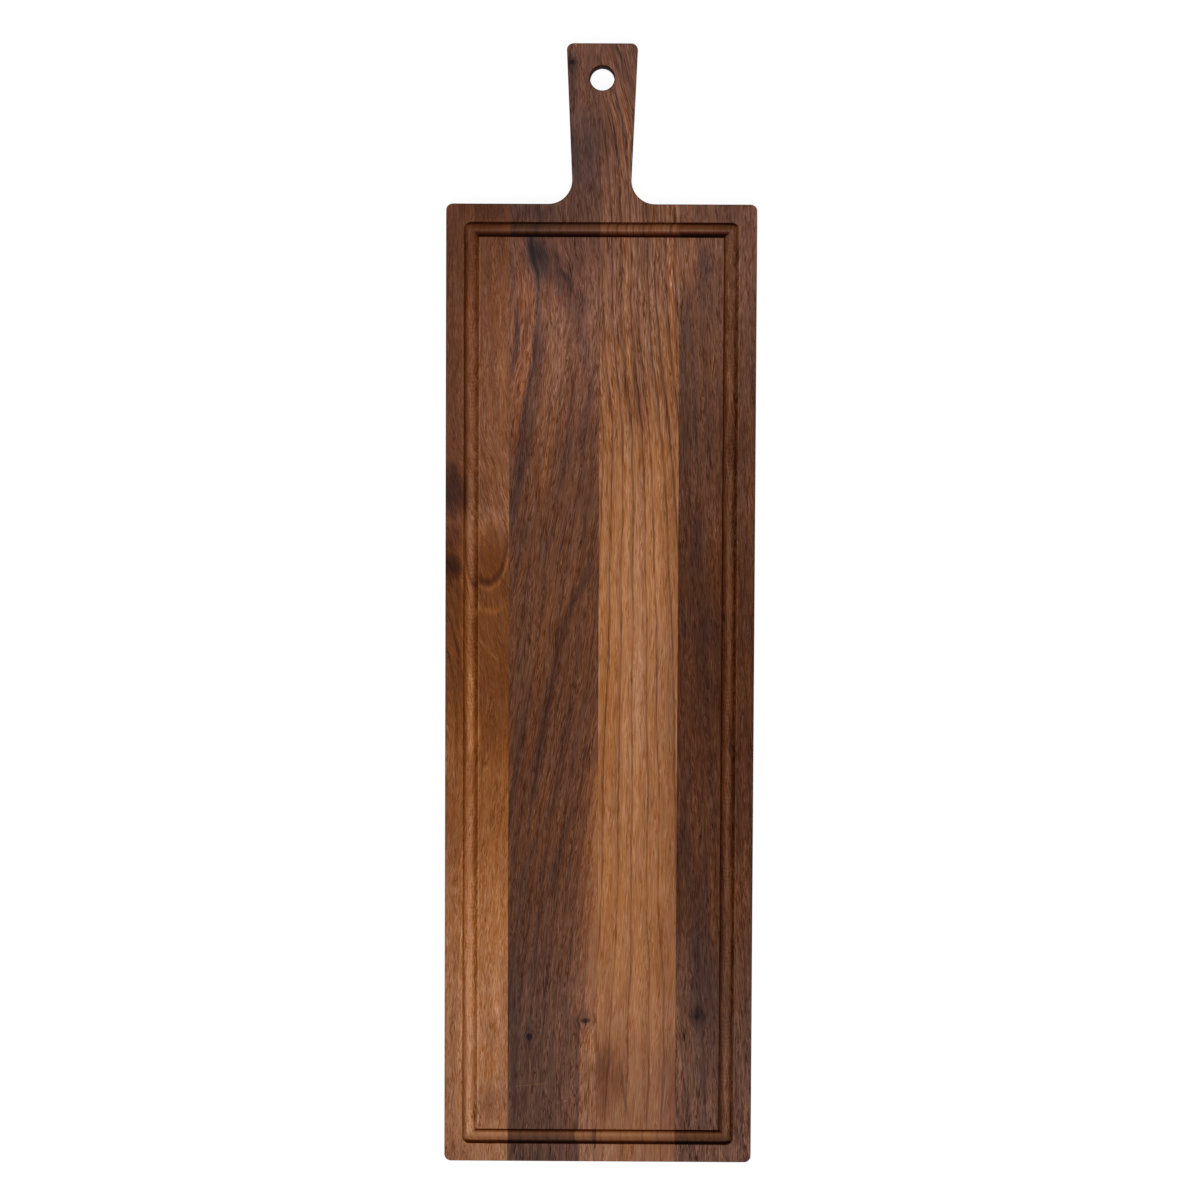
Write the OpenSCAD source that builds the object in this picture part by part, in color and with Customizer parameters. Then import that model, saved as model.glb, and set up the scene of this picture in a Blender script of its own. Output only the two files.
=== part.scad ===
// Paddle serving board: four walnut staves glued edge to edge, cut to a body with a short
// flared handle, with a hanging hole and a juice groove. It lies flat with the handle
// towards +Y, and the origin is at the centre of its underside.

/* [Staves] */
// Width of the stave at the left edge
left_w = 40.4; // [25:0.1:70]
// Width of the stave left of the centre
left_centre_w = 56.7; // [35:0.1:80]
// Width of the stave right of the centre
right_centre_w = 50.3; // [35:0.1:80]
// Width of the stave at the right edge
right_w = 48.6; // [25:0.1:70]
// Thickness of the glue between two staves
glue_t = 0.1; // [0.1:0.05:0.3]

/* [Body] */
// Length of the body, from the foot to the shoulder
body_l = 610.4; // [300:1:900]
// Thickness of the planed slab
slab_t = 19; // [14:0.5:38]
// Radius of the outline's corners, on the body and on the handle's end
corner_r = 4.2; // [2.5:0.1:10]
// Radius of the easing along every edge of the outline and round the hole
ease_r = 1; // [0.5:0.1:2]

/* [Handle] */
// Length of the handle, from the shoulder to its end
handle_l = 100.6; // [70:1:160]
// Width of the handle at its widest, over the rounded corners of its end
end_w = 44.7; // [36:0.2:70]
// Width of the handle at its narrowest, between the hollows where it meets the shoulder
neck_w = 37.4; // [28:0.2:60]
// Radius of each hollow
neck_r = 15; // [6:0.5:25]

/* [Hanging hole] */
// Diameter of the hole
hole_d = 15.4; // [8:0.5:22]
// Distance from the handle's end to the hole's centre
hole_inset = 21.8; // [16:0.2:40]

/* [Juice groove] */
// Width of the groove, which is the diameter of its round-nosed cutter
groove_w = 9.5; // [6:0.1:14]
// Depth of the groove at its deepest
groove_depth = 5; // [3:0.1:9]
// Distance from the body's edge to the middle of the groove
groove_inset = 16.2; // [13:0.2:40]

/* [Hidden] */
// How far a cut runs past the face that it opens
overrun = 2;
// Facets in a full turn, where the shape is drawn as a mesh
$fn = 96;

// Places along the board
overall_l = body_l + handle_l;
foot_y = -overall_l / 2;
shoulder_y = foot_y + body_l;
end_y = overall_l / 2;
body_mid_y = foot_y + body_l / 2;
hole_y = end_y - hole_inset;

// Places across the board, where each seam is the left face of its glue
body_w = left_w + left_centre_w + right_centre_w + right_w + 3 * glue_t;
left_x = -body_w / 2;
right_x = body_w / 2;
left_seam_x = left_x + left_w;
centre_seam_x = left_seam_x + glue_t + left_centre_w;
right_seam_x = centre_seam_x + glue_t + right_centre_w;

// Middle line of the body's left corners
corner_x = left_x + corner_r;

// Centres of the rounds on the handle's left: its end corner, and the hollow at the shoulder
end_round = [corner_r - end_w / 2, end_y - corner_r];
neck_round = [-neck_w / 2 - neck_r, shoulder_y + neck_r];
// How far the sander takes the handle's side into each round, so that their cuts cross
sanding = 0.02;
// Degrees by which the hollow's cut laps over the side
lap = 5;
// The side is the straight line between the two rounds, so it leans outwards by the flare
end_off = corner_r - sanding;
neck_off = neck_r - sanding;
rounds_apart = end_round - neck_round;
flare = asin((neck_off + end_off) / norm(rounds_apart)) - atan2(rounds_apart[0], rounds_apart[1]);
side_l = sqrt(rounds_apart * rounds_apart - (neck_off + end_off) ^ 2);
side_face = [-cos(flare), -sin(flare)];
side_top = end_round + end_off * side_face;
side_foot = neck_round - neck_off * side_face;
side_way = (side_top - side_foot) / side_l;

// The groove's middle runs round a rectangle
groove_r = groove_w / 2;
groove_x = body_w / 2 - groove_inset;
groove_half_l = body_l / 2 - groove_inset;
groove_centre_z = slab_t - groove_depth + groove_r;

// Dried glue, alike in every seam
glue_colour = [0.24, 0.14, 0.09];

// Draws what is given on both sides of the board's middle
module both_sides() {
    children();
    mirror([1, 0, 0]) children();
}

// Draws what is given for the upper face's edge again at the lower face's
module both_faces() {
    translate([0, 0, slab_t - ease_r]) children();
    translate([0, 0, ease_r]) mirror([0, 0, 1]) children();
}

// Outline of the body, a rectangle with rounded corners
module body_outline() {
    translate([0, body_mid_y]) {
        square([body_w, body_l - 2 * corner_r], center = true);
        square([body_w - 2 * corner_r, body_l], center = true);
        for (sx = [-1, 1], sy = [-1, 1])
            translate([sx * (body_w / 2 - corner_r), sy * (body_l / 2 - corner_r)]) circle(corner_r);
    }
}

// Outline of one half of the handle, which starts inside the body and spreads into the shoulder
module handle_half_outline() {
    difference() {
        union() {
            polygon([
                [0, end_y],
                [end_round[0], end_y],
                side_top,
                side_foot,
                [neck_round[0], shoulder_y],
                [neck_round[0], shoulder_y - corner_r],
                [0, shoulder_y - corner_r]
            ]);
            translate(end_round) circle(corner_r);
        }
        translate(neck_round) circle(neck_r);
    }
}

module outline() {
    body_outline();
    both_sides() handle_half_outline();
}

// Section of what the rounding bit takes off an edge: outwards is +X, up is +Y, and the
// round's centre is at the origin
module ease_section() {
    difference() {
        square(ease_r + overrun);
        circle(ease_r);
    }
}

// The bit's cut along a straight edge that faces outwards at an angle, from the edge's middle
module ease_straight(middle, facing, run) {
    translate(middle) rotate([90, 0, facing]) translate([-ease_r, 0])
        linear_extrude(run, center = true) ease_section();
}

// The bit's cut round an outer corner
module ease_corner(centre, r, start, sweep) {
    translate(centre) rotate([0, 0, start]) rotate_extrude(angle = sweep)
        translate([r - ease_r, 0]) ease_section();
}

// The bit's cut round a hollow or a hole
module ease_hollow(centre, r, start, sweep) {
    translate(centre) rotate([0, 0, start]) rotate_extrude(angle = sweep)
        translate([r + ease_r, 0]) mirror([1, 0]) ease_section();
}

// The bit's cuts along the outline's straight edges
module eased_straights() {
    both_faces() {
        ease_straight([0, foot_y], -90, -2 * corner_x);
        ease_straight([0, end_y], 90, -2 * end_round[0]);
        both_sides() {
            ease_straight([left_x, body_mid_y], 180, body_l - 2 * corner_r);
            ease_straight([(corner_x + neck_round[0]) / 2, shoulder_y], 90, neck_round[0] - corner_x);
            ease_straight((side_foot + side_top + overrun * side_way) / 2, 180 + flare, side_l + overrun);
        }
    }
}

// The bit's cuts round the outline's corners and hollows, and round the hole
module eased_rounds() {
    both_faces() {
        ease_hollow([0, hole_y], hole_d / 2, 0, 360);
        both_sides() {
            ease_corner([corner_x, foot_y + corner_r], corner_r, 180, 90);
            ease_corner([corner_x, shoulder_y - corner_r], corner_r, 90, 90);
            ease_hollow(neck_round, neck_r, -90, 90 + flare + lap);
            ease_corner(end_round, corner_r, 90, 90 + flare);
        }
    }
}

module hanging_hole() {
    translate([0, hole_y, -overrun]) cylinder(d = hole_d, h = slab_t + 2 * overrun);
}

// Section of the groove: a round bottom under straight walls, open above the face
module groove_section() {
    translate([0, groove_centre_z]) circle(groove_r);
    translate([-groove_r, groove_centre_z]) square([groove_w, groove_depth + overrun]);
}

// One straight leg of the groove along a way across the board, from its middle
module groove_leg(middle, facing, run) {
    translate(middle) rotate([90, 0, facing]) linear_extrude(run, center = true) groove_section();
}

// The outside of a groove corner, where the cutter stands while it turns
module groove_corner() {
    rotate_extrude(angle = 90) intersection() {
        groove_section();
        square([groove_w, slab_t + overrun]);
    }
}

// The cutter leaves sharp inner corners and round outer ones
module juice_groove() {
    translate([0, body_mid_y]) {
        both_sides() {
            groove_leg([groove_x, 0], 0, 2 * groove_half_l);
            translate([groove_x, groove_half_l]) groove_corner();
            translate([groove_x, -groove_half_l]) rotate([0, 0, -90]) groove_corner();
        }
        for (sy = [-1, 1])
            groove_leg([0, sy * groove_half_l], 90, 2 * groove_x);
    }
}

// The whole board, before it is told apart into its staves and glue
module board() {
    difference() {
        linear_extrude(slab_t) outline();
        hanging_hole();
        juice_groove();
        eased_straights();
        eased_rounds();
    }
}

// What lies between two planes across the board
module slice(from_x, to_x) {
    intersection() {
        board();
        translate([from_x, foot_y - overrun, -overrun])
            cube([to_x - from_x, overall_l + 2 * overrun, slab_t + 2 * overrun]);
    }
}

module left_stave() {
    color([0.47, 0.30, 0.19]) slice(left_x - overrun, left_seam_x);
}

module left_centre_stave() {
    color([0.38, 0.24, 0.17]) slice(left_seam_x + glue_t, centre_seam_x);
}

module right_centre_stave() {
    color([0.54, 0.36, 0.23]) slice(centre_seam_x + glue_t, right_seam_x);
}

module right_stave() {
    color([0.32, 0.19, 0.14]) slice(right_seam_x + glue_t, right_x + overrun);
}

module left_glue_line() {
    color(glue_colour) slice(left_seam_x, left_seam_x + glue_t);
}

module centre_glue_line() {
    color(glue_colour) slice(centre_seam_x, centre_seam_x + glue_t);
}

module right_glue_line() {
    color(glue_colour) slice(right_seam_x, right_seam_x + glue_t);
}

left_stave();
left_centre_stave();
right_centre_stave();
right_stave();
left_glue_line();
centre_glue_line();
right_glue_line();
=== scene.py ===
import math

import bpy
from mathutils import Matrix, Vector

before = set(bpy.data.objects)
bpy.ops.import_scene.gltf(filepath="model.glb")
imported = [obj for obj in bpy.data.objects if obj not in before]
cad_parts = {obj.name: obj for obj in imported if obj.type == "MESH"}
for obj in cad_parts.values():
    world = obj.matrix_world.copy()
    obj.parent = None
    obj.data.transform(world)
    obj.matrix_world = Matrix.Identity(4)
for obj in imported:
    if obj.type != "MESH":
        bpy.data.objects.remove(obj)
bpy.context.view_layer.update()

# A paddle serving board of four glued walnut staves, seen from above on a white table.
# Places on the board are in millimetres: x to the right, y towards the handle, z up.

print("frame loaded")


def screenTone(red, green, blue):  # a colour as a screen shows it, 0 to 255, as linear light
    values = [part / 255 for part in (red, green, blue)]
    return [v / 12.92 if v <= 0.04045 else ((v + 0.055) / 1.055) ** 2.4 for v in values] + [1.0]


class finishTree:  # lays out the nodes of one finish
    def __init__(self, name):
        self.finish = bpy.data.materials.new(name)
        self.finish.use_nodes = True
        self.tree = self.finish.node_tree
        self.tree.nodes.clear()

    def add(self, kind, inputs, out=0, **settings):
        node = self.tree.nodes.new("ShaderNode" + kind)
        for key, value in settings.items():
            setattr(node, key, value)
        for socket, value in inputs.items():
            if isinstance(value, bpy.types.NodeSocket):
                self.tree.links.new(value, node.inputs[socket])
            else:
                node.inputs[socket].default_value = value
        return node.outputs[out] if len(node.outputs) else node

    def calc(self, operation, a, b=0.0, c=0.0, clamp=False):
        return self.add("Math", {0: a, 1: b, 2: c}, operation=operation, use_clamp=clamp)

    def plus(self, *terms):
        total = terms[0]
        for term in terms[1:]:
            total = self.calc("ADD", total, term)
        return total

    def times(self, *terms):
        total = terms[0]
        for term in terms[1:]:
            total = self.calc("MULTIPLY", total, term)
        return total

    def less(self, a, b):
        return self.calc("SUBTRACT", a, b)

    def vector(self, operation, a, b=(0, 0, 0), scale=1.0):
        inputs = {0: a, 3: scale} if operation == "SCALE" else {0: a, 1: b}
        out = "Value" if operation in ("LENGTH", "DOT_PRODUCT") else "Vector"
        return self.add("VectorMath", inputs, out, operation=operation)

    def join(self, x, y, z=0.0):
        return self.add("CombineXYZ", {0: x, 1: y, 2: z})

    def split(self, vector):
        node = self.tree.nodes.new("ShaderNodeSeparateXYZ")
        self.tree.links.new(vector, node.inputs[0])
        return list(node.outputs)

    def fade(self, value, start, end, low=0.0, high=1.0, kind="SMOOTHSTEP"):  # from low at start to high at end
        inputs = {"Value": value, "From Min": start, "From Max": end, "To Min": low, "To Max": high}
        return self.add("MapRange", inputs, interpolation_type=kind, clamp=True)

    def noise(self, place, detail=1.0, out=0):  # about -1 to 1, or three such values where out is 1
        found = self.add("TexNoise", {"Vector": place, "Scale": 1.0, "Detail": detail}, out)
        if out:
            return self.vector("SCALE", self.vector("SUBTRACT", found, (0.5, 0.5, 0.5)), scale=4.0)
        return self.calc("MULTIPLY_ADD", found, 4.0, -2.0)

    def pattern(self, name, x, y, seed, out=0):  # one of the noises listed under patterns
        width, length, detail, apart = patterns[name]
        return self.noise(self.join(self.times(x, 1 / width), self.times(y, 1 / length), seed + apart), detail, out)

    def offFrom(self, place, spot, size):  # the way from a spot, counted in the spot's own sizes
        away = self.vector("SUBTRACT", place, (*spot, 0))
        return self.vector("MULTIPLY", away, (1 / size[0], 1 / size[1], 0))

    def blend(self, amount, base, top, mode="MIX"):  # sockets 6 and 7 are the node's two colours, and output 2 theirs
        inputs = {0: amount, 6: base, 7: top}
        return self.add("Mix", inputs, 2, data_type="RGBA", blend_type=mode)

    def tint(self, amount, tone, factors):  # the tone times the factors, as far as amount goes
        return self.blend(amount, tone, self.blend(1.0, tone, (*factors, 1), "MULTIPLY"))

    def curve(self, value, points, handles="AUTO"):  # a curve through a few points, held level past its ends
        points = sorted(points)
        first, last = points[0][0], points[-1][0]
        lowest = min(p[1] for p in points)
        reach = max(max(p[1] for p in points) - lowest, 1e-3)
        node = self.tree.nodes.new("ShaderNodeFloatCurve")
        dots = node.mapping.curves[0].points
        while len(dots) < len(points):
            dots.new(0.5, 0.5)
        for dot, (at, level) in zip(dots, points):
            dot.location = ((at - first) / (last - first), (level - lowest) / reach)
            dot.handle_type = handles
        node.mapping.extend = "HORIZONTAL"
        node.mapping.update()
        self.tree.links.new(self.fade(value, first, last, kind="LINEAR"), node.inputs["Value"])
        return self.calc("MULTIPLY_ADD", node.outputs[0], reach, lowest)

    def ramp(self, value, stops):
        node = self.tree.nodes.new("ShaderNodeValToRGB")
        self.tree.links.new(value, node.inputs[0])
        dots = node.color_ramp.elements
        while len(dots) < len(stops):
            dots.new(0.5)
        for dot, (at, tone) in zip(dots, stops):
            dot.position = at
            dot.color = screenTone(*tone)
        return node.outputs[0]


# The groove's path and its cutter, as in the part's source
groove = {
    "halfWidth": 81.95,                 # from the board's middle line to the middle of the side legs
    "halfLength": 289.0,                # from the body's middle to the middle of the end legs
    "middleY": -50.3,
    "floorPaintedShine": (7, 22),              # painted highlight, partly a lighter burnished floor, on the side legs: in shades, near the head and below
    "floorMiddle": 0.6,                 # how far outwards the middle of that painted highlight lies
    "lipPaintedLight": 20,                     # how many shades of painted light the right lip of each side leg gets
    "ripple": (2.6, 0.12, 6),           # the cutter's marks there: how far apart, how bowed and how light
    "smear": -0.6,                      # how much of the grain it takes from the end legs
    "paintedGlint": 0.016,                     # painted sheen: how much greyer the wood is for each shade of painted highlight
    "burntAndShaded": (0.15, 0.027, 0.0008),     # what a full burn with painted shade leaves of the colour
    "chipTint": (0.62, 0.55, 0.50),
    # Where each of these starts to show and where it is full: in z, in y, out from the middle, and in noise
    "reaches": (8.0, 12.0),
    "footHalf": (10, -10),
    "floorChange": (120, 40),
    "floorEdge": (3.3, 0.6),
    "smearEdge": (5.0, 3.5),
    "rippleEdge": (4.4, 2.6),
    "burnAndShadeEdge": (5.4, 5.0),
    "lipEdges": ((3.9, 4.4), (5.8, 5.1)),
    "chipEdges": ((4.1, 4.6), (5.4, 4.9)),
    "rippleShows": (-0.1, 0.7),
    "chipShows": (0.3, 0.9),
    # How burnt the groove is across each leg, with painted shade on the walls: from left to right on the side legs,
    # outwards on the others
    "sideBurnAndShade": [(-5.1, 0), (-4.6, 0.16), (-4.1, 0.18), (-3.5, 0.08), (-2.5, 0.04), (0, 0.03), (2, 0.06),
                 (3, 0.13), (3.5, 0.14), (4.1, 0.05), (4.7, 0)],
    "headBurnAndShade": [(-5.1, 0), (-4.5, 0.45), (-4, 1.3), (-3.5, 1.05), (-3, 0.8), (-2, 0.48), (-1, 0.2), (0, 0),
                 (1, 0.1), (3.5, 0.12), (4, 0.47), (4.5, 0.32), (5, 0)],
    "footBurnAndShade": [(-5.1, 0), (-4.5, 0.2), (-4, 0.9), (-3.5, 0.88), (-3, 0.54), (-2.5, 0.36), (-2, 0.15),
                 (-1, 0.07), (0, 0.09), (1, 0.12), (2, 0.1), (2.9, 0.06), (3.7, 0.45), (4.1, 0.9), (4.5, 0.8),
                 (4.8, 0.2), (5, 0)],
    # How many shades of painted highlight, partly a lighter burnished floor, the end legs' floor gets, in the same
    # way
    "headPaintedShine": [(-2, 0), (-1, 2), (0, 12), (1, 9), (2, 5), (3, 2), (4, 0)],
    "footPaintedShine": [(-3.2, 0), (-2, 8), (-1, 19), (0, 21), (1, 14), (2, 3), (3, 0)],
}


def grooveSigns(t, x, y):  # how far out from the groove's middle, and 1 where the nearest leg is an end leg
    acrossPast = t.less(t.calc("ABSOLUTE", x), groove["halfWidth"])
    alongPast = t.less(t.calc("ABSOLUTE", t.less(y, groove["middleY"])), groove["halfLength"])
    outside = t.vector("LENGTH", t.join(t.calc("MAXIMUM", acrossPast, 0.0), t.calc("MAXIMUM", alongPast, 0.0)))
    inside = t.calc("MINIMUM", t.calc("MAXIMUM", acrossPast, alongPast), 0.0)
    return t.plus(outside, inside), t.fade(t.less(alongPast, acrossPast), -1.0, 1.0)


# Shade says how light the wood is, from 0 to 200. Cool is 0 for orange wood and 1 for greyish wood,
# and red is -1 for an olive tinge and 1 for a purple one.
walnut = {
    "shades": (0, 40, 80, 120, 160, 200),
    "warm": [(8, 2, 1), (34, 9, 2), (78, 36, 5), (119, 65, 23), (160, 99, 49), (200, 136, 84)],
    "cool": [(8, 6, 6), (39, 27, 25), (79, 56, 46), (119, 83, 66), (160, 117, 91), (200, 153, 121)],
    "sheen": 0.2,
    "roughness": 0.5,
    "slabTop": 19.0,
    "depthDrift": (0.5, 1.2),     # how far the figure moves in x and y for each millimetre of depth
    "paintedGlint": 0.02,                # painted sheen on the fibres: how much greyer the wood is for each shade that its grain adds
    "olive": (0.97, 1.035, 0.93, 1),
    "purple": (1.03, 0.95, 1.09, 1),
    "drift": (0.06, 0.13, 0.7),   # how far shade, cool and red drift by themselves
    "sway": 1.2,                  # how far the fibres sway
    "poreDepth": -0.18,
    # Darker eased edges: painted shade where they turn from the light, and the oil they took up
    "rimFaces": (0.97, 0.70),     # how squarely a face looks up or down, from flat faces to eased edges
    "rimPast": (6.0, 9.0),        # how far from the groove's middle a rim may lie
    "rimShadeTint": (0.70, 0.64, 0.60),
    # The hole's bore is darker: painted shade inside the hole, and a drill burn
    "hole": (0, 333.7, 0),
    "holeEdge": (10.0, 8.5),
    "holeShadeTint": (0.42, 0.12, 0.05),
    "relief": (0.12, -0.05, -0.10),        # how high thin lines, pores and chips stand
    "rougher": (0.12, 0.4, 0.35, 0.45),    # how much pores, streaks, the burnt and shaded walls and the hole add to the roughness
}

# Noises that all the staves share: width across the fibres, length along them, detail, and a number of their own
patterns = {
    "sway": (30, 80, 2, 0),         # slow bends of the fibres
    "wave": (6, 20, 1, 0),          # and short ones
    "wobble": (9, 22, 2, 0),        # what makes the outlines of patches and veins ragged
    "ragged": (1.1, 9, 1, 5),       # the same for growth lines
    "density": (3.5, 28, 1, 9),     # where lines, hairs and pores are thicker
    "stagger": (1.3, 60, 0, 13),
    "drift": (3.2, 24, 2, 0),
    "pores": (0.42, 5, 0, 20),
    "ripples": (30, 16, 0, 17),     # where the cutter's ripples show
    "chips": (6, 1.6, 1, 0),        # where the lips of the groove are chipped
}

grain = {  # width across the fibres, length along them, and strength
    "bands": (6.0, 140.0, 0.080),
    "streaks": (2.4, 34.0, 0.080),
    "fibres": (0.62, 7.0, 0.135),
}

hairs = {  # the same three for thin lines, which follow the edges between larger patches
    "dark": (1.15, 11.0, -0.22),
    "light": (1.3, 8.0, 0.13),
}

hairShape = {
    "stagger": 9.0,                 # how far the ends of fibres and pores are set off from each other
    "edge": (0.36, 0.0),            # from which to which noise a thin line goes
    "levels": (-0.2, 0.8),          # what it counts for beside the line and on it
    "thickness": (0.7, 1.0),        # how much it changes with the density, and what it is without that
    "poreEdge": (0.45, 1.0),
    "poreThickness": (0.4, 0.8),
}

# Apart from the wobbles, a pair says where a mark starts to show and where it is full
marks = {
    "patchEdge": (1.35, 0.25),      # in sizes of the patch
    "patchWobble": (1.7, 5.0),      # how far its outline strays in x and y
    "veinWobble": (0.6, 0.5),       # how far a vein strays, with the wobble and with the wave
    "veinFoot": (-10, 8),           # from the vein's lower end
    "veinHead": (8, -8),            # from its upper end
    "arcTop": (0, -16),
    "haloEdge": (1.7, 0.1),         # in sizes of the knot
    "coreEdge": (1.35, 0.4),        # in sizes of its core
    "coreWobble": 0.4,
    "arcWobble": 0.02,
    "parting": 0.8,                 # how far the fibres part round a knot
    "scratchEdge": (0.6, 0.1),
    "scratchEnd": 5,
    "scratchReaches": (18.5, 18.9),
}

growth = {
    "apart": 6.5,                   # about how far apart the lines are
    "lineEdge": (1.0, 0.15),
    "thickness": (0.4, 0.7),        # how much a line changes with the density, and what it is without that
    "ragged": 0.018,
    "late": (0.3, 1.0),             # from where to where the wood darkens towards the next line
    "lateDepth": 0.2,
}

endGrain = {
    "faces": (0.55, 0.85),          # how squarely a face looks along the fibres
    "pithApart": 40.0,              # each stave's rings have a middle of their own, below the board
    "pithBelow": 34.0,
    "ringApart": 4.2,
    "ringEdge": (0.4, 1.0),
    "ringWobble": 0.4,
    "ringDepth": -0.16,
    "dots": (0.45, 9),              # the pores' width, and their length along the fibres
    "dotEdge": (0.2, 0.9),
    "dotDepth": -0.2,
    "tone": 0.8,                    # how light it is beside the long grain
}

# In a stave a list of pairs is a curve along y, as y and value. Lean is how far the fibres have moved in x there,
# lines are the places of the growth lines, which spread sets wider apart, and fibreRun stretches the fibres.
# Patches, veins, arcs and knots add what they name to shade, cool, red and grain. Their at is x and y. A vein's path
# is y and x, from its head down. An arc is a line round its middle, where level 1 is at its size.

leftStave = {
    "node": "left_stave",
    "seed": 1,
    "shade": [(355, 98), (240, 103), (190, 120), (60, 127), (15, 112), (-50, 111), (-110, 133), (-150, 140),
              (-215, 163), (-300, 155), (-355, 150)],
    "cool": [(355, 0.3), (225, 0.3), (140, 0.4), (60, 0.35), (0, 0.0), (-100, 0.0), (-180, 0.15), (-260, 0.42),
             (-355, 0.62)],
    "red": [(355, 0.5), (200, 0.5), (90, 0.1), (0, 0), (-355, 0)],
    "lean": [(355, 0), (130, 0), (90, 8), (40, 20), (-20, 34), (-60, 41), (-100, 42), (-190, 34), (-355, 34)],
    "lines": [-160, -150, -143, -133, -126, -116, -108, -101, -92, -85, -77, -70, -61, -52, -40],
    "lineDepth": [(355, 6), (-355, 9)],
    "wave": 0.9,
    "fibreRun": [(355, 410), (-355, -410)],
    "grainDepth": [(355, 0.78), (-200, 0.62), (-355, 0.75)],
    "burnAndShade": 0.75,
    "patches": [
        {"at": (-97, 130), "size": (13, 130), "shade": -27, "cool": -0.1, "red": 0.3},
        {"at": (-96, -200), "size": (9, 130), "shade": -12, "cool": 0.15},
        {"at": (-93, 74), "size": (10, 17), "shade": -42, "red": 0.6},
        {"at": (-95, 26), "size": (9, 9), "shade": -44, "cool": -0.1, "red": 0.6},
        {"at": (-94, 45), "size": (7, 8), "shade": -20, "cool": -0.1, "red": 0.5},
        {"at": (-93, -87), "size": (7, 34), "shade": 12, "cool": 0.1},
        {"at": (-93, -352), "size": (12, 9), "shade": -16},
        {"at": (-72, 252), "size": (17, 12), "shade": -20, "cool": -0.1},
        {"at": (-67, 84), "size": (9, 24), "shade": 2, "cool": -0.05},
        {"at": (-69, 32), "size": (9, 16), "shade": -10, "cool": -0.3},
        {"at": (-66, 56), "size": (10, 8), "shade": 12, "cool": 0.1},
        {"at": (-60, -110), "size": (5, 50), "shade": 8, "cool": -0.2},
        {"at": (-70, -319), "size": (12, 8), "shade": -13},
        {"at": (-83, 75), "size": (5, 16), "shade": -11},
        {"at": (-70, -292), "size": (9, 14), "shade": 5, "cool": -0.2},
        {"at": (-72, -313), "size": (10, 8), "shade": -8},
        {"at": (-95, 36), "size": (6, 7), "shade": -14, "red": 0.4},
        {"at": (-89, -15), "size": (3.5, 62), "shade": -10, "cool": -0.1},
        {"at": (-63, 150), "size": (5, 26), "shade": 10},
        {"at": (-73, 75), "size": (6, 12), "shade": -8},
        {"at": (-73, 50), "size": (5, 9), "shade": 10},
        # These two are painted highlight on the groove's floor
        {"at": (-84, -20), "size": (5.2, 74), "shade": 28},
        {"at": (-84.5, -200), "size": (4.0, 120), "shade": 12},
    ],
    "veins": [
        {"path": [(-2, -97.5), (-25, -91), (-50, -87)], "width": 1.6, "shade": -16},
        {"path": [(14, -97), (-10, -90), (-26, -86.5)], "width": 1.4, "shade": -16},
        {"path": [(-28, -97.5), (-60, -91.5), (-100, -91)], "width": 1.5, "shade": -15},
        {"path": [(62, -96), (47, -86)], "width": 1.3, "shade": -14},
        {"path": [(-17, -77.5), (-30, -69), (-37, -58)], "width": 1.3, "shade": 14, "cool": 0.1},
        {"path": [(225, -71), (170, -69), (130, -68)], "width": 2.6, "shade": -9},
        {"path": [(200, -63), (150, -62), (105, -60)], "width": 2.4, "shade": 7, "cool": -0.1},
        {"path": [(-38, -61), (-43, -59), (-48, -58)], "width": 2.0, "shade": -6, "cool": -0.2, "red": 1.0},
        # The next two are painted light on the groove's floor; the third darkens its outer wall near the head with
        # burn and painted shade
        {"path": [(-30, -79), (-60, -79), (-88, -79)], "width": 4.2, "shade": 32},
        {"path": [(-120, -82), (-190, -82)], "width": 4.5, "shade": 9, "cool": 0.1},
        {"path": [(236, -84.6), (60, -84.6)], "width": 3.4, "shade": -11, "cool": -0.25},
    ],
    "arcs": [
        {"at": (-71.5, 42), "size": (12, 26), "level": 1.0, "width": 0.17, "shade": -30, "below": 52},
        {"at": (-71.5, 42), "size": (12, 26), "level": 1.17, "width": 0.12, "shade": 20, "below": 62},
        {"at": (-69.0, 42), "size": (12, 27), "level": 1.66, "width": 0.15, "shade": 26, "below": 10},
    ],
}

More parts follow.
